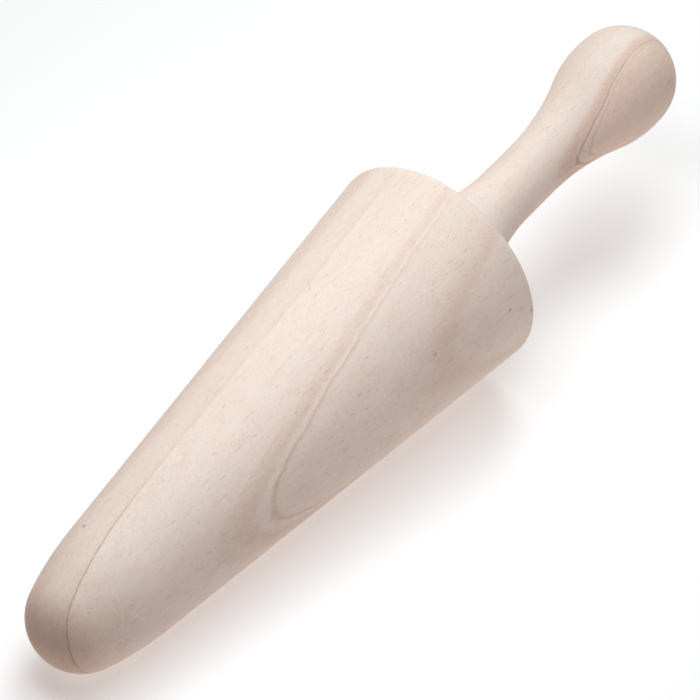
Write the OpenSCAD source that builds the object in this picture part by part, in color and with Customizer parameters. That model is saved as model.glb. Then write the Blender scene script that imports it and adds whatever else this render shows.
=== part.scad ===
// Wooden pestle for pressing food through a conical strainer.
//
// A solid turned head, shaped as a long cone with a rounded nose, and a turned
// handle whose round tenon is glued into a blind bore in the head's flat
// shoulder. The pestle lies on its side: the cone rests on z = 0 along one
// straight line, the nose points towards -X, and the axis rises towards the
// knob, which points towards +X. The origin is under the middle of its box.

/* [Head] */
// Length of the head, from the nose to the flat shoulder
head_l = 198; // [150:1:214]
// Diameter of the cone at the shoulder, measured to the unrounded edge
head_d = 78.5; // [75:0.5:95]
// Angle between the cone's side and its axis
cone_angle = 6.3; // [4.5:0.1:6.8]
// Radius of the ball-shaped nose
nose_r = 17.2; // [14:0.1:18]
// Radius of the long curve that joins the nose to the cone
blend_r = 112; // [80:1:160]
// Radius of the sanded edge round the shoulder
shoulder_edge_r = 1.5; // [0.5:0.1:3]

/* [Handle] */
// Length of the handle, from the shoulder to the end of the knob
handle_l = 127; // [115:1:160]
// Diameter of the neck
neck_d = 21.3; // [18:0.1:26]
// Diameter of the flared foot where it sits on the shoulder
foot_d = 44.6; // [36:0.2:56]
// Length of the flared foot
foot_l = 38; // [26:1:50]

/* [Knob] */
// Widest diameter of the knob
knob_d = 38.5; // [34:0.5:44]
// How much smaller the radius of the knob's end is than the knob's widest radius
knob_taper = 0.15; // [0:0.05:2]
// Radius of the knob's long side
knob_side_r = 48.5; // [40:0.5:60]
// Radius of the hollow curve that joins the neck to the knob
knob_cove_r = 111; // [80:1:130]

/* [Joint] */
// Diameter of the handle's tenon
tenon_d = 25; // [18:0.5:30]
// Length of the tenon
tenon_l = 40; // [25:1:60]
// Thickness of the glue round the tenon
glue_gap = 0.1; // [0.05:0.05:0.2]
// Space left for glue at the bottom of the bore
bore_relief = 2; // [1:0.5:4]
// Width and depth of the chamfer at the tenon's end
tenon_chamfer = 1.5; // [0.5:0.5:3]

/* [Finish] */
// Largest gap between a drawn outline and its true curve
outline_gap = 0.01; // [0.005:0.005:0.05]

/* [Hidden] */
$fn = 180;
head_colour = [0.86, 0.77, 0.70];
handle_colour = [0.91, 0.84, 0.77];

// Every outline below has the radius along X and the pestle's axis along Y,
// measured from the nose.
head_r = head_d / 2;
neck_r = neck_d / 2;
foot_r = foot_d / 2;
knob_r = knob_d / 2;
tenon_r = tenon_d / 2;
pestle_l = head_l + handle_l;

// The blend curve touches the cone's side and the nose from inside. Its centre
// is blend_r inside the cone's side, at [blend_0 + y * tan(cone_angle), y], and
// blend_r - nose_r from the nose's centre, which gives a quadratic for y.
blend_0 = head_r - head_l * tan(cone_angle) - blend_r / cos(cone_angle);
quad_a = 1 + pow(tan(cone_angle), 2);
quad_b = 2 * (blend_0 * tan(cone_angle) - nose_r);
quad_c = nose_r * nose_r + blend_0 * blend_0 - pow(blend_r - nose_r, 2);
blend_y = (-quad_b + sqrt(quad_b * quad_b - 4 * quad_a * quad_c)) / (2 * quad_a);
blend_x = blend_0 + blend_y * tan(cone_angle);
blend_turn = atan2(nose_r - blend_y, -blend_x);

// The sanded edge touches the cone's side and the shoulder.
edge_y = head_l - shoulder_edge_r;
edge_x = head_r - shoulder_edge_r * tan(cone_angle) - shoulder_edge_r / cos(cone_angle);

// The foot's hollow curve runs into the neck.
foot_drop = foot_r - neck_r;
foot_cove_r = (foot_l * foot_l + foot_drop * foot_drop) / (2 * foot_drop);
foot_turn = asin(foot_l / foot_cove_r);

// The knob's end is a ball, its side is a longer arc round that ball, and a
// hollow curve runs from the side into the neck.
end_r = knob_r - knob_taper;
end_y = pestle_l - end_r;
side_x = knob_r - knob_side_r;
side_y = end_y - sqrt(pow(knob_side_r - end_r, 2) - side_x * side_x);
cove_x = neck_r + knob_cove_r;
cove_y = side_y - sqrt(pow(knob_cove_r + knob_side_r, 2) - pow(cove_x - side_x, 2));
cove_turn = asin((side_y - cove_y) / (knob_cove_r + knob_side_r));
end_turn = atan2(end_y - side_y, -side_x);

// Lying down, the nose's end is this far above the surface and this far along X.
nose_z = head_r * cos(cone_angle) - head_l * sin(cone_angle);
box_low_x = nose_r * cos(cone_angle) - nose_r;
box_high_x = end_y * cos(cone_angle) + end_r;
nose_x = -(box_low_x + box_high_x) / 2;

// Points on an arc, close enough together to keep to outline_gap
function arc(centre, r, from, to) =
    let (steps = ceil(abs(to - from) / (2 * acos(1 - outline_gap / r))))
    [for (i = [0 : steps]) centre + r * arc_direction(from + (to - from) * i / steps)];

function arc_direction(angle) = [cos(angle), sin(angle)];

module head_outline() {
    polygon(concat(
        arc([0, nose_r], nose_r, -90, blend_turn),
        arc([blend_x, blend_y], blend_r, blend_turn, -cone_angle),
        arc([edge_x, edge_y], shoulder_edge_r, -cone_angle, 90),
        [[0, head_l]]
    ));
}

module handle_outline() {
    tenon_y = head_l - tenon_l;
    polygon(concat(
        [
            [0, tenon_y],
            [tenon_r - tenon_chamfer, tenon_y],
            [tenon_r, tenon_y + tenon_chamfer],
            [tenon_r, head_l]
        ],
        arc([neck_r + foot_cove_r, head_l + foot_l], foot_cove_r, 180 + foot_turn, 180),
        arc([cove_x, cove_y], knob_cove_r, 180, 180 - cove_turn),
        arc([side_x, side_y], knob_side_r, -cove_turn, end_turn),
        arc([0, end_y], end_r, end_turn, 90)
    ));
}

// Turns the upright pestle over onto the side of its cone
module lying() {
    translate([nose_x, 0, nose_z]) rotate([0, 90 - cone_angle, 0]) children();
}

module head() {
    bore_l = tenon_l + bore_relief;
    color(head_colour) lying() difference() {
        rotate_extrude() head_outline();
        translate([0, 0, head_l - bore_l]) cylinder(h = bore_l + 1, r = tenon_r + glue_gap);
    }
}

module handle() {
    color(handle_colour) lying() rotate_extrude() handle_outline();
}

head();
handle();
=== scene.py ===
"""A turned wooden pestle: a cone-shaped head and a handle glued into it, lying on a pale floor."""

import math

import bmesh
import bpy
from mathutils import Matrix, Vector


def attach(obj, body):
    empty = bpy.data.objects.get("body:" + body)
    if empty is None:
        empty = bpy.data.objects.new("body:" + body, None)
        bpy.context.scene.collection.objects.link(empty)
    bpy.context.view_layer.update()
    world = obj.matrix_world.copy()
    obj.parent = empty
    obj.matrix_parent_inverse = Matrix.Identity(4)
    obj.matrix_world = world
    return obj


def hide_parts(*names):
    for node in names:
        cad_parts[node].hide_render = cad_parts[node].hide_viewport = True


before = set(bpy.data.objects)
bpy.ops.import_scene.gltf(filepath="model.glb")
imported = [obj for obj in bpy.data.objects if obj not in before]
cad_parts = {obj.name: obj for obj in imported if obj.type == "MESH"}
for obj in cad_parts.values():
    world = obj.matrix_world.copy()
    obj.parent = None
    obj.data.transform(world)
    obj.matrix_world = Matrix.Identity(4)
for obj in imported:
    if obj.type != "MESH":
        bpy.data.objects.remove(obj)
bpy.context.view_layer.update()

# ---------------------------------------------------------------- dimensions
# The same values as the CAD design, in metres and radians. Heights run along the pestle's axis from the nose.
MM = 0.001
HEAD_L = 0.198
HEAD_R = 0.03925
CONE = math.radians(6.3)
NOSE_R = 0.0172
BLEND_R = 0.112
SHOULDER_EDGE_R = 0.0015
HANDLE_L = 0.127
NECK_R = 0.01065
FOOT_R = 0.0223
FOOT_L = 0.038
KNOB_R = 0.01925
KNOB_END_R = 0.0191
KNOB_SIDE_R = 0.0485
KNOB_COVE_R = 0.111
TENON_R = 0.0125
TENON_L = 0.040
BORE_R = 0.0126
BORE_L = 0.042
TENON_CHAMFER = 0.0015
# Small eased edges that the sanding leaves
FOOT_EDGE_R = 0.0004
BORE_EDGE_R = 0.0003

ROUND_STEPS = 360  # faces round each piece
ARC_STEP = 0.0009  # longest face along an outline

# The nose's end lies at one end of the box, and the cone rests on the floor. In the wood's own axes
# +Z runs along the pestle to the knob, +X points down to the floor and +Y is the row's +Y.
END_Y = HEAD_L + HANDLE_L - KNOB_END_R
NOSE_X = -(NOSE_R * math.cos(CONE) - NOSE_R + END_Y * math.cos(CONE) + KNOB_END_R) / 2
NOSE_Z = HEAD_R * math.cos(CONE) - HEAD_L * math.sin(CONE)
LYING = Matrix.Translation((NOSE_X, 0, NOSE_Z)) @ Matrix.Rotation(math.pi / 2 - CONE, 4, "Y")


# ---------------------------------------------------------------- outlines
def arc(centre, radius, start, end):
    """Points (radius from the axis, height) along an arc, from one angle to another."""
    steps = max(3, math.ceil(abs(end - start) * radius / ARC_STEP))
    turns = [start + (end - start) * i / steps for i in range(steps + 1)]
    return [(centre[0] + radius * math.cos(t), centre[1] + radius * math.sin(t)) for t in turns]


def line(start, end):
    """Evenly spaced points between two points, without the two points themselves."""
    steps = math.ceil(math.dist(start, end) / (2 * ARC_STEP))
    return [
        (start[0] + (end[0] - start[0]) * i / steps, start[1] + (end[1] - start[1]) * i / steps)
        for i in range(1, steps)
    ]


def joined(*parts):
    """One outline from several arcs, with straight runs between them divided as well."""
    points = []
    for part in parts:
        if points and math.dist(points[-1], part[0]) > 2 * ARC_STEP:
            points += line(points[-1], part[0])
        for point in part:
            if not points or math.dist(points[-1], point) > 1e-7:
                points.append(point)
    return points


def on_surface(outline, height, turn):
    """The surface's point at a height in mm, this many degrees round from the top towards +Y. It is in mm."""
    radii = []
    for (start_r, start_y), (end_r, end_y) in zip(outline, outline[1:]):
        if min(start_y, end_y) <= height * MM <= max(start_y, end_y) and start_y != end_y:
            share = (height * MM - start_y) / (end_y - start_y)
            radii.append((start_r + share * (end_r - start_r)) / MM)
    outermost = max(radii)
    angle = math.radians(turn)
    return -outermost * math.cos(angle), outermost * math.sin(angle), height


def head_outline():
    """The head's outline from the tip, over the nose, cone and shoulder, into the bore."""
    slope = math.tan(CONE)
    # The long arc between nose and cone touches both, which gives a quadratic for its centre's height
    start = HEAD_R - HEAD_L * slope - BLEND_R / math.cos(CONE)
    a = 1 + slope**2
    b = 2 * (start * slope - NOSE_R)
    c = NOSE_R**2 + start**2 - (BLEND_R - NOSE_R) ** 2
    blend_y = (-b + math.sqrt(b * b - 4 * a * c)) / (2 * a)
    blend_x = start + blend_y * slope
    blend_turn = math.atan2(NOSE_R - blend_y, -blend_x)
    edge_y = HEAD_L - SHOULDER_EDGE_R
    edge_x = HEAD_R - SHOULDER_EDGE_R * slope - SHOULDER_EDGE_R / math.cos(CONE)
    bore_edge = (BORE_R + BORE_EDGE_R, HEAD_L - BORE_EDGE_R)
    return joined(
        arc((0, NOSE_R), NOSE_R, -math.pi / 2, blend_turn),
        arc((blend_x, blend_y), BLEND_R, blend_turn, -CONE),
        arc((edge_x, edge_y), SHOULDER_EDGE_R, -CONE, math.pi / 2),
        arc(bore_edge, BORE_EDGE_R, math.pi / 2, math.pi),
        [(BORE_R, HEAD_L - BORE_L)],
        [(0, HEAD_L - BORE_L)],
    )


def handle_outline():
    """The handle's outline from the tenon's end, over the foot and neck, to the knob's end."""
    tenon_y = HEAD_L - TENON_L
    foot_drop = FOOT_R - NECK_R
    foot_cove_r = (FOOT_L**2 + foot_drop**2) / (2 * foot_drop)
    foot_turn = math.asin(FOOT_L / foot_cove_r)
    side_x = KNOB_R - KNOB_SIDE_R
    side_y = END_Y - math.sqrt((KNOB_SIDE_R - KNOB_END_R) ** 2 - side_x**2)
    cove_x = NECK_R + KNOB_COVE_R
    reach = KNOB_COVE_R + KNOB_SIDE_R
    cove_y = side_y - math.sqrt(reach**2 - (cove_x - side_x) ** 2)
    cove_turn = math.asin((side_y - cove_y) / reach)
    end_turn = math.atan2(END_Y - side_y, -side_x)
    foot = arc((NECK_R + foot_cove_r, HEAD_L + FOOT_L), foot_cove_r, math.pi + foot_turn, math.pi)
    foot = [p for p in foot if p[1] > HEAD_L + 2 * FOOT_EDGE_R]
    return joined(
        [(0, tenon_y), (TENON_R - TENON_CHAMFER, tenon_y), (TENON_R, tenon_y + TENON_CHAMFER)],
        [(TENON_R, HEAD_L)],
        arc((FOOT_R - FOOT_EDGE_R, HEAD_L + FOOT_EDGE_R), FOOT_EDGE_R, -math.pi / 2, 0),
        foot,
        arc((cove_x, cove_y), KNOB_COVE_R, math.pi, math.pi - cove_turn),
        arc((side_x, side_y), KNOB_SIDE_R, -cove_turn, end_turn),
        arc((0, END_Y), KNOB_END_R, end_turn, math.pi / 2),
    )


# ---------------------------------------------------------------- wood
# Lengths in the wood are in millimetres and angles in degrees. Colours are linear red, green and blue.
CREAM = (0.825, 0.67, 0.58)
PALE = (0.81, 0.655, 0.57)
PLAIN = (0.795, 0.64, 0.555)
WARM = (0.80, 0.62, 0.53)
ROSY = (0.80, 0.59, 0.49)
DARK = (0.75, 0.55, 0.46)
PORE_COLOUR = (0.58, 0.27, 0.17)

WHOLE = 400  # mm: a ring line that keeps its strength over the whole pestle

# The growth rings lie round a pith that runs beside the pestle, outside it.
HEAD = {
    # Where the pith runs: (below the pestle's axis, towards +Y from it)
    "pith": (11.9, 53.1),
    # How far the rings wander in and out along the pestle: (height, mm)
    "drift": [(0, 1), (30, -0.6), (50, -1.3), (80, -1.3), (140, 0.3), (200, 0.6)],
    # The outer rings run true: the wandering fades out between these distances from the pith
    "drift_gone": (66.0, 76.0),
    # The wood's tone at each distance from the pith
    "zones": [
        (44, PLAIN),
        (48, WARM),
        (51, WARM),
        (54, CREAM),
        (57, CREAM),
        (62.5, PLAIN),
        (63.5, CREAM),
        (67, PLAIN),
        (77, PLAIN),
        (79, WARM),
        (80, PALE),
        (80.5, PLAIN),
        (81, PALE),
        (86, CREAM),
        (89, WARM),
        (90.5, CREAM),
        (110, PALE),
    ],
    # Dark lines at the rings:
    # (distance, reach inwards, reach outwards, strength, colour, height where the line fades)
    "rings": [
        (62.75, 0.45, 0.25, 0.65, (0.50, 0.25, 0.15), 46),
        (62.7, 2.0, 0.4, 0.14, (0.62, 0.44, 0.33), WHOLE),
        (47.6, 2.2, 1.2, 0.22, (0.66, 0.48, 0.36), WHOLE),
        (77.9, 0.5, 0.6, 0.16, (0.62, 0.42, 0.32), WHOLE),
        (79.1, 1.4, 0.7, 0.17, (0.62, 0.42, 0.32), WHOLE),
        (79.5, 2.2, 0.3, 0.2, (0.58, 0.38, 0.28), 110),
        (80.4, 0.3, 0.25, 0.38, (0.56, 0.29, 0.20), 130),
        (80.5, 0.5, 0.5, 0.1, (0.60, 0.38, 0.28), WHOLE),
        (89.5, 1.8, 0.6, 0.22, (0.68, 0.46, 0.38), WHOLE),
    ],
    # Share of the pores that show at each distance from the pith
    "pore_share": [
        (20, 0.25),
        (58, 0.3),
        (64, 0.55),
        (76, 0.65),
        (79, 0.95),
        (81, 0.6),
        (88, 0.95),
        (100, 0.8),
    ],
    # A tint near one end: (height where it is full, height where it is gone, colour)
    "end_tint": (3.0, 28.0, (0.965, 0.905, 0.875)),
    # A tint where the surface cuts across the grain
    "end_grain": (0.82, 0.74, 0.70),
    # Single marks:
    # ((height, degrees round from the top), half width, times longer along the grain, strength, colour)
    "marks": [
        ((34, 30), 0.6, 1.2, 0.85, (0.10, 0.07, 0.06)),
        ((154, -68), 0.5, 2.0, 0.6, (0.30, 0.15, 0.11)),
        ((165, -65), 3.4, 4.5, 0.2, (0.68, 0.40, 0.33)),
        ((187, -78), 0.6, 2.0, 0.6, (0.45, 0.17, 0.12)),
        ((196, -88), 0.4, 3.6, 0.6, (0.26, 0.14, 0.10)),
        ((12, -35), 0.35, 3.5, 0.35, (0.55, 0.25, 0.19)),
        ((16, -65), 0.5, 1.4, 0.4, (0.40, 0.26, 0.21)),
    ],
    "seed": 3.0,
}
HANDLE = {
    "pith": (3.8, 46.9),
    "drift": [(198, 9), (225, 5), (240, 4), (262, 0.3), (303, 0), (326, -1)],
    "drift_gone": (80.0, 90.0),
    "zones": [
        (20, WARM),
        (52, PALE),
        (55, PALE),
        (57, ROSY),
        (58, DARK),
        (59, WARM),
        (60, ROSY),
        (80, WARM),
    ],
    "rings": [
        (57.3, 2.0, 0.7, 0.28, (0.60, 0.36, 0.28), WHOLE),
        (58.2, 0.3, 0.2, 0.6, (0.42, 0.24, 0.18), WHOLE),
        (59.1, 0.2, 0.25, 0.4, (0.52, 0.32, 0.25), WHOLE),
    ],
    "pore_share": [(20, 0.4), (55, 0.5), (58, 0.8), (70, 0.6)],
    "end_tint": (211.0, 228.0, (0.95, 1.02, 1.08)),
    "end_grain": (0.84, 0.90, 0.95),
    "marks": [((280, 25), 0.4, 1.2, 0.7, (0.36, 0.16, 0.12))],
    "seed": 11.0,
}

DRIFT_RANGE = (-2.0, 9.0)  # the least and most that any drift may be
RING_RADIUS = 62.0  # the distance from the pith at which lengths round it are measured
# Waves in the rings: (cell size round the pith and along it, how far a ring is pushed, change of seed)
RING_WAVES = [((40.0, 38.0), 0.28, 0), ((3.0, 9.0), 0.14, 5)]
# A ring line fades between these shares of its height, down to this share of its strength
FADE_START, FADE_END, FADED_SHARE = 0.7, 1.6, 0.12

# Cell sizes of the noises in the wood. These follow the rings: round the pith, out from it and along it.
PATCH_CELL = (13.0, 16.0, 55.0)
MOTTLE_CELL = (1.8, 2.2, 7.0)
RAY_CELL = (0.16, 5.0, 0.8)
# These follow the piece: across it both ways and along it.
FIBRE_CELL = (0.42, 0.42, 9.0)
FLECK_CELL = (0.5, 0.5, 1.2)
WANDER_CELL = (14.0, 14.0, 21.0)
CLUSTER_CELL = (6.0, 6.0, 16.0)
GAP_CELL = (1.3, 1.3, 4.0)

# Tints that a noise brings: (noise where the tint starts, noise where it is full, strength, colour)
PATCH_TINTS = [(0.46, 0.72, 0.55, (0.97, 0.925, 0.90)), (0.5, 0.28, 0.6, (1.03, 1.03, 1.02))]
MOTTLE_TINTS = [(0.5, 0.75, 0.7, (0.94, 0.91, 0.885)), (0.5, 0.25, 0.7, (1.035, 1.04, 1.05))]
FIBRE_TINTS = [(0.52, 0.78, 0.6, (0.93, 0.885, 0.855)), (0.48, 0.25, 0.6, (1.03, 1.035, 1.04))]
FLECK_TINTS = [(0.5, 0.72, 0.7, (0.94, 0.89, 0.86)), (0.5, 0.28, 0.6, (1.03, 1.04, 1.05))]
RAY_TINTS = [(0.58, 0.74, 0.55, (0.92, 0.87, 0.83)), (0.42, 0.28, 0.5, (1.04, 1.045, 1.05))]

WANDER_REACH = 3.2  # how far a pore strays from a straight line
# Pores in two sizes: (spacing, radius, strength, change of seed)
PORE_SIZES = [(1.25, 0.12, 0.85, 0.0), (0.8, 0.08, 0.62, 31.0)]
CLUSTER_SHARE = (-0.3, 0.2)  # the change in the share of pores between clusters and in them

ROUGHNESS = (0.56, 0.68)  # where the mottling is low and high
PORE_ROUGHNESS = 0.2  # added in a pore
SPECULAR = 0.3
FIBRE_RELIEF = 0.35
PORE_RELIEF = 1.4
BUMP_STRENGTH = 0.35
BUMP_DEPTH = 0.0001  # in metres

RAMP_REACH = 120.0  # the distance at a colour ramp's right end


class Nodes:
    """Adds nodes to a material and joins them. Every call returns the new node's output socket."""

    def __init__(self, material):
        self.tree = material.node_tree

    def add(self, kind, inputs=None, output=0, **settings):
        node = self.tree.nodes.new(kind)
        for name, value in settings.items():
            setattr(node, name, value)
        for name, value in (inputs or {}).items():
            self.feed(value, node.inputs[name])
        return node.outputs[output]

    def feed(self, value, socket):
        if isinstance(value, bpy.types.NodeSocket):
            self.tree.links.new(value, socket)
        else:
            socket.default_value = value

    def math(self, operation, *values):
        return self.add("ShaderNodeMath", dict(enumerate(values)), operation=operation)

    def vector(self, operation, *values, output="Vector"):
        return self.add("ShaderNodeVectorMath", dict(enumerate(values)), output, operation=operation)

    def length(self, vector):
        return self.vector("LENGTH", vector, output="Value")

    def combine(self, x, y, z):
        return self.add("ShaderNodeCombineXYZ", {"X": x, "Y": y, "Z": z})

    def smooth(self, value, low, high, at_low=0.0, at_high=1.0):
        """Goes smoothly from at_low to at_high while the value goes from low to high."""
        ends = {"Value": value, "From Min": low, "From Max": high, "To Min": at_low, "To Max": at_high}
        return self.add("ShaderNodeMapRange", ends, interpolation_type="SMOOTHSTEP")

    def noise(self, place, cell, shift, detail=2.0, roughness=0.5, output="Fac"):
        """Noise with cells of the given size. The shift makes each noise differ."""
        vector = self.vector("ADD", self.vector("DIVIDE", place, cell), shift)
        settings = {"Vector": vector, "Scale": 1.0, "Detail": detail, "Roughness": roughness}
        return self.add("ShaderNodeTexNoise", settings, output)

    def blend(self, factor, first, second, blend_type="MIX"):
        node = self.tree.nodes.new("ShaderNodeMix")
        node.data_type = "RGBA"
        node.blend_type = blend_type
        for value, socket in ((factor, 0), (first, 6), (second, 7)):
            value = (*value, 1.0) if isinstance(value, tuple) else value
            self.feed(value, node.inputs[socket])
        return node.outputs[2]

    def tinted(self, colour, noise, tints):
        """The colour multiplied by each tint, where the noise brings it."""
        for start, full, strength, tint in tints:
            colour = self.blend(self.smooth(noise, start, full, 0.0, strength), colour, tint, "MULTIPLY")
        return colour

    def ramp(self, value, stops):
        """Colours at distances from 0 to RAMP_REACH, blended between."""
        node = self.tree.nodes.new("ShaderNodeValToRGB")
        elements = node.color_ramp.elements
        elements[0].position = stops[0][0] / RAMP_REACH
        elements[1].position = stops[-1][0] / RAMP_REACH
        elements[0].color = (*stops[0][1], 1)
        elements[1].color = (*stops[-1][1], 1)
        for place, colour in stops[1:-1]:
            elements.new(place / RAMP_REACH).color = (*colour, 1)
        self.feed(self.math("DIVIDE", value, RAMP_REACH), node.inputs[0])
        return node.outputs[0]

    def levels(self, value, stops, low, high):
        """A number between low and high at each place, blended between. It uses a curve."""
        node = self.tree.nodes.new("ShaderNodeFloatCurve")
        first, last = stops[0][0], stops[-1][0]
        points = [((place - first) / (last - first), (level - low) / (high - low)) for place, level in stops]
        curve = node.mapping.curves[0]
        curve.points[0].location = points[0]
        curve.points[1].location = points[-1]
        for point in points[1:-1]:
            curve.points.new(*point)
        node.mapping.update()
        share = self.add("ShaderNodeMapRange", {"Value": value, "From Min": first, "From Max": last})
        self.feed(share, node.inputs["Value"])
        ends = {"Value": node.outputs[0], "To Min": low, "To Max": high}
        return self.add("ShaderNodeMapRange", ends)


class Grain:
    """Where a point of the surface lies in the wood, as node outputs in millimetres.

    here: its place in the wood's own axes, from the nose
    height: how far along the pestle it is
    rings: its place round the pith, out from the pith and along the pestle
    ring: its distance from the pith, with the waves of the rings taken out
    """

    def __init__(self, nodes, design):
        in_metres = nodes.add("ShaderNodeTexCoord", output="Object")
        lying = {"Location": LYING.translation, "Rotation": LYING.to_euler(), "Scale": (MM, MM, MM)}
        self.here = nodes.add("ShaderNodeMapping", {"Vector": in_metres, **lying}, vector_type="TEXTURE")
        split = nodes.add("ShaderNodeSeparateXYZ", {0: self.here}).node
        x, y, self.height = split.outputs

        pith_x, pith_y = design["pith"]
        from_pith_x = nodes.math("SUBTRACT", x, pith_x)
        from_pith_y = nodes.math("SUBTRACT", y, pith_y)
        radius = nodes.length(nodes.combine(from_pith_x, from_pith_y, 0.0))
        angle = nodes.math("ARCTAN2", from_pith_x, nodes.math("MULTIPLY", from_pith_y, -1.0))
        around = nodes.math("MULTIPLY", angle, RING_RADIUS)
        self.rings = nodes.combine(around, radius, self.height)

        inner, outer = design["drift_gone"]
        drift = nodes.levels(self.height, design["drift"], *DRIFT_RANGE)
        push = nodes.math("MULTIPLY", drift, nodes.smooth(radius, inner, outer, 1.0, 0.0))
        flat = nodes.combine(around, 0.0, self.height)
        for (cell_around, cell_along), reach, change in RING_WAVES:
            wave = nodes.noise(flat, (cell_around, 1.0, cell_along), (0.0, design["seed"] + change, 0.0))
            push = nodes.math("ADD", push, nodes.smooth(wave, 0.2, 0.8, -reach, reach))
        self.ring = nodes.math("SUBTRACT", radius, push)


def with_ring_lines(nodes, colour, grain, fibre, rings):
    """Dark lines where a year's growth ended, broken up by the fibres."""
    breakup = nodes.smooth(fibre, 0.3, 0.7, 0.55, 1.3)
    for place, inwards, outwards, strength, line_colour, fades in rings:
        rise = nodes.smooth(grain.ring, place - inwards, place)
        fall = nodes.smooth(grain.ring, place, place + outwards, 1.0, 0.0)
        amount = nodes.math("MULTIPLY", nodes.math("MULTIPLY", rise, fall), breakup)
        faded = strength * FADED_SHARE
        along = nodes.smooth(grain.height, fades * FADE_START, fades * FADE_END, strength, faded)
        colour = nodes.blend(nodes.math("MULTIPLY", amount, along), colour, line_colour)
    return colour


def pores(nodes, grain, shares, seed):
    """Long tubes that wander a little and show here and there. The surface cuts them into short dashes."""
    wander = nodes.noise(grain.here, WANDER_CELL, (seed, 0.0, 1.0), output="Color")
    wander = nodes.vector("SCALE", nodes.vector("SUBTRACT", wander, (0.5, 0.5, 0.5)))
    wander.node.inputs["Scale"].default_value = WANDER_REACH
    strayed = nodes.vector("ADD", grain.here, wander)
    cluster = nodes.smooth(nodes.noise(grain.here, CLUSTER_CELL, (seed,) * 3), 0.3, 0.7, *CLUSTER_SHARE)
    share = nodes.math("ADD", nodes.levels(grain.ring, shares, 0.0, 1.0), cluster)
    dashes = 0.0
    for spacing, size, strength, change in PORE_SIZES:
        place = nodes.vector("ADD", nodes.vector("DIVIDE", strayed, (spacing,) * 3), (seed + change,) * 3)
        cell = {"Vector": place, "Scale": 1.0}
        distance = nodes.add("ShaderNodeTexVoronoi", cell, "Distance", voronoi_dimensions="2D")
        # Each tube has two random numbers of its own, for whether it shows and how strongly
        luck = nodes.add("ShaderNodeSeparateColor", {"Color": distance.node.outputs["Color"]}).node
        shown = nodes.smooth(nodes.math("SUBTRACT", share, luck.outputs[0]), -0.05, 0.1)
        depth = nodes.smooth(luck.outputs[1], 0.0, 1.0, strength * 0.45, strength)
        edge = size / spacing
        tube = nodes.smooth(distance, edge * 0.55, edge * 1.15, 1.0, 0.0)
        tube = nodes.math("MULTIPLY", nodes.math("MULTIPLY", tube, shown), depth)
        dashes = nodes.math("MAXIMUM", dashes, tube)
    gaps = nodes.smooth(nodes.noise(grain.here, GAP_CELL, (seed,) * 3, 1.0), 0.38, 0.56)
    return nodes.math("MULTIPLY", dashes, gaps)


def with_marks(nodes, colour, grain, outline, marks):
    """Single marks, each a soft ellipsoid with its middle on the surface."""
    for (height, turn), half_width, longer, strength, mark_colour in marks:
        from_mark = nodes.vector("SUBTRACT", grain.here, on_surface(outline, height, turn))
        size = (half_width, half_width, half_width * longer)
        away = nodes.length(nodes.vector("DIVIDE", from_mark, size))
        colour = nodes.blend(nodes.smooth(away, 0.35, 1.0, strength, 0.0), colour, mark_colour)
    return colour


def with_end_grain(nodes, colour, tint):
    """Wood cut across its grain takes in more light."""
    normal = nodes.add("ShaderNodeNewGeometry", output="Normal")
    along = LYING.to_3x3() @ Vector((0, 0, 1))
    facing = nodes.math("ABSOLUTE", nodes.vector("DOT_PRODUCT", normal, along, output="Value"))
    return nodes.blend(nodes.smooth(facing, 0.45, 0.98), colour, tint, "MULTIPLY")


def give_surface(nodes, shader, mottle, fibre, dashes):
    """Sanded, unfinished wood: matt, with fine fibres and open pores."""
    sanded = nodes.smooth(mottle, 0.25, 0.75, *ROUGHNESS)
    roughness = nodes.math("ADD", sanded, nodes.math("MULTIPLY", dashes, PORE_ROUGHNESS))
    nodes.feed(roughness, shader.inputs["Roughness"])
    shader.inputs["Specular IOR Level"].default_value = SPECULAR
    raised = nodes.math("MULTIPLY", fibre, FIBRE_RELIEF)
    relief = nodes.math("SUBTRACT", raised, nodes.math("MULTIPLY", dashes, PORE_RELIEF))
    bump = {"Height": relief, "Strength": BUMP_STRENGTH, "Distance": BUMP_DEPTH}
    nodes.feed(nodes.add("ShaderNodeBump", bump), shader.inputs["Normal"])


def wood(name, design, outline):
    """Bare turned wood. Its pattern fills the solid, so the surface shows it as a real cut does."""
    material = bpy.data.materials.new(name)
    material.use_nodes = True
    shader = material.node_tree.nodes["Principled BSDF"]
    nodes = Nodes(material)
    grain = Grain(nodes, design)
    seed = design["seed"]

    patch = nodes.noise(grain.rings, PATCH_CELL, (seed, seed, seed), 3.0, 0.55)
    mottle = nodes.noise(grain.rings, MOTTLE_CELL, (seed + 9, 0.0, seed), 3.0, 0.6)
    ray = nodes.noise(grain.rings, RAY_CELL, (0.0, seed, 2.0), 1.0, 0.5)
    fibre = nodes.noise(grain.here, FIBRE_CELL, (seed, 3.0, 7.0), 3.0, 0.6)
    fleck = nodes.noise(grain.here, FLECK_CELL, (2.0, seed, 5.0), 2.0, 0.6)
    dashes = pores(nodes, grain, design["pore_share"], seed)

    colour = nodes.ramp(grain.ring, design["zones"])
    colour = nodes.tinted(colour, patch, PATCH_TINTS)
    colour = nodes.tinted(colour, mottle, MOTTLE_TINTS)
    colour = nodes.tinted(colour, fibre, FIBRE_TINTS)
    colour = nodes.tinted(colour, fleck, FLECK_TINTS)
    colour = with_ring_lines(nodes, colour, grain, fibre, design["rings"])
    colour = nodes.tinted(colour, ray, RAY_TINTS)
    colour = nodes.blend(dashes, colour, PORE_COLOUR)
    full, gone, tint = design["end_tint"]
    colour = nodes.blend(nodes.smooth(grain.height, full, gone, 1.0, 0.0), colour, tint, "MULTIPLY")
    colour = with_marks(nodes, colour, grain, outline, design["marks"])
    colour = with_end_grain(nodes, colour, design["end_grain"])
    nodes.feed(colour, shader.inputs["Base Color"])
    give_surface(nodes, shader, mottle, fibre, dashes)
    return material


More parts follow.
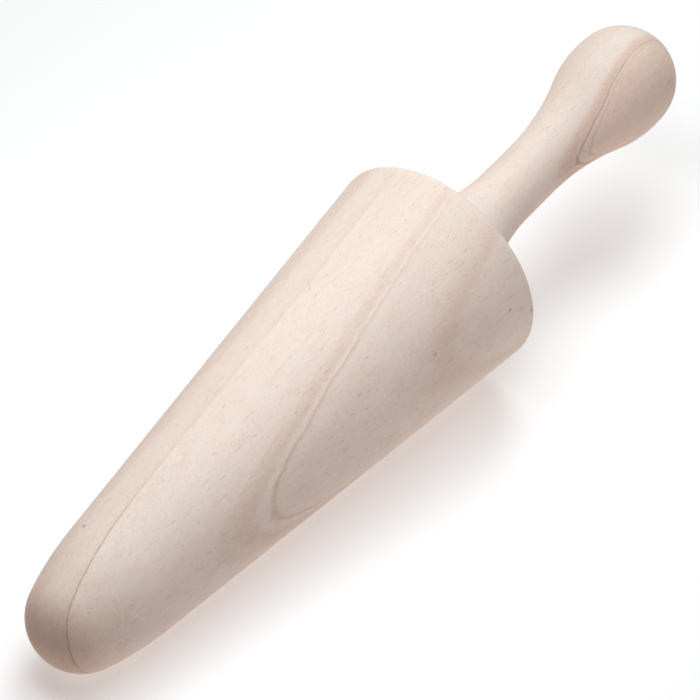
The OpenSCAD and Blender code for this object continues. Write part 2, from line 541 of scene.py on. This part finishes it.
# ---------------------------------------------------------------- pieces
def turned_mesh(name, outline):
    """A closed mesh turned from an outline whose first and last points lie on the axis."""
    bm = bmesh.new()
    low = bm.verts.new((0, 0, outline[0][1]))
    high = bm.verts.new((0, 0, outline[-1][1]))
    turns = [2 * math.pi * i / ROUND_STEPS for i in range(ROUND_STEPS)]
    rings = [
        [bm.verts.new((radius * math.cos(turn), radius * math.sin(turn), height)) for turn in turns]
        for radius, height in outline[1:-1]
    ]
    for i in range(ROUND_STEPS):
        j = (i + 1) % ROUND_STEPS
        bm.faces.new((low, rings[0][j], rings[0][i]))
        bm.faces.new((high, rings[-1][i], rings[-1][j]))
        for lower, upper in zip(rings, rings[1:]):
            bm.faces.new((lower[i], lower[j], upper[j], upper[i]))
    bmesh.ops.recalc_face_normals(bm, faces=bm.faces)
    for face in bm.faces:
        face.smooth = True
    mesh = bpy.data.meshes.new(name)
    bm.to_mesh(mesh)
    bm.free()
    mesh.transform(LYING)
    return mesh


def turned_piece(name, outline, design, node, slot):
    """A turned wooden piece that stands for a CAD node."""
    mesh = turned_mesh(name, outline)
    mesh.materials.append(wood(slot, design, outline))
    piece = bpy.data.objects.new(name, mesh)
    bpy.context.scene.collection.objects.link(piece)
    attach(piece, "root")
    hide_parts(node)


turned_piece("pestle_head", head_outline(), HEAD, "head", "head_wood")
turned_piece("pestle_handle", handle_outline(), HANDLE, "handle", "handle_wood")

# ---------------------------------------------------------------- floor and light
FLOOR_SIZE = 12
FLOOR_DROP = 0.0002  # keeps the floor just clear of the pestle
FLOOR_COLOUR = (0.6, 0.6, 0.6, 1)
FLOOR_ROUGHNESS = 0.9
GLOW_COLOUR = (1.0, 0.93, 0.915, 1)
GLOW_NEAR, GLOW_FAR = 0.45, 0.95  # how strongly the floor glows under the pestle and far from it
GLOW_START, GLOW_END = 0.25, 1.2  # the distances between which the glow grows
WORLD_STRENGTH = 0.03


def lay_floor():
    """A pale floor. It glows a little, and more away from the pestle, so that it stays pale in every view."""
    bpy.ops.mesh.primitive_plane_add(size=FLOOR_SIZE, location=(0, 0, -FLOOR_DROP))
    floor = bpy.context.object
    floor.name = "floor"
    material = bpy.data.materials.new("floor_paint")
    material.use_nodes = True
    shader = material.node_tree.nodes["Principled BSDF"]
    shader.inputs["Base Color"].default_value = FLOOR_COLOUR
    shader.inputs["Roughness"].default_value = FLOOR_ROUGHNESS
    shader.inputs["Emission Color"].default_value = GLOW_COLOUR
    nodes = Nodes(material)
    away = nodes.length(nodes.add("ShaderNodeTexCoord", output="Object"))
    glow = nodes.smooth(away, GLOW_START, GLOW_END, GLOW_NEAR, GLOW_FAR)
    nodes.feed(glow, shader.inputs["Emission Strength"])
    floor.data.materials.append(material)


def light_world():
    world = bpy.data.worlds.new("studio")
    bpy.context.scene.world = world
    world.use_nodes = True
    background = world.node_tree.nodes["Background"]
    background.inputs["Color"].default_value = (1, 1, 1, 1)
    background.inputs["Strength"].default_value = WORLD_STRENGTH


def soft_light(name, place, aim, width, height, watts, colour=(1, 1, 1)):
    data = bpy.data.lights.new(name, "AREA")
    data.shape = "RECTANGLE"
    data.size = width
    data.size_y = height
    data.energy = watts
    data.color = colour
    lamp = bpy.data.objects.new(name, data)
    bpy.context.scene.collection.objects.link(lamp)
    lamp.location = place
    lamp.rotation_euler = (Vector(aim) - Vector(place)).to_track_quat("-Z", "Y").to_euler()


lay_floor()
light_world()
soft_light("overhead_light", (-0.1, 0, 0.38), (-0.1, 0, 0), 0.2, 0.4, 1.16, (0.915, 0.97, 1.0))
soft_light("back_light", (0.4, 0.15, 0.55), (0.16, 0.06, 0), 0.3, 0.6, 3.1, (0.9, 0.985, 1.0))
soft_light("handle_light", (0.14, -0.28, 0.22), (0.10, 0, 0.03), 0.15, 0.15, 0.065)

# ---------------------------------------------------------------- camera
VIEW_DOWN = math.radians(40.87)  # the camera looks down by this much
VIEW_HEADING = math.radians(37.36)  # and this far round from +X towards +Y
VIEW_DISTANCE = 1.0278
TARGET_HEIGHT = 0.15015  # the camera aims at this height on the pestle's axis
SENSOR_WIDTH = 36  # in mm
FOCAL_RATIO = 32 / 7  # focal length over sensor width


def place_camera():
    level = math.cos(VIEW_DOWN)
    forward = Vector((math.cos(VIEW_HEADING) * level, math.sin(VIEW_HEADING) * level, -math.sin(VIEW_DOWN)))
    data = bpy.data.cameras.new("camera")
    data.sensor_width = SENSOR_WIDTH
    data.lens = SENSOR_WIDTH * FOCAL_RATIO
    camera = bpy.data.objects.new("camera", data)
    bpy.context.scene.collection.objects.link(camera)
    camera.location = LYING @ Vector((0, 0, TARGET_HEIGHT)) - forward * VIEW_DISTANCE
    camera.rotation_euler = forward.to_track_quat("-Z", "Y").to_euler()
    bpy.context.scene.camera = camera


place_camera()
bpy.context.scene.view_settings.view_transform = "Standard"
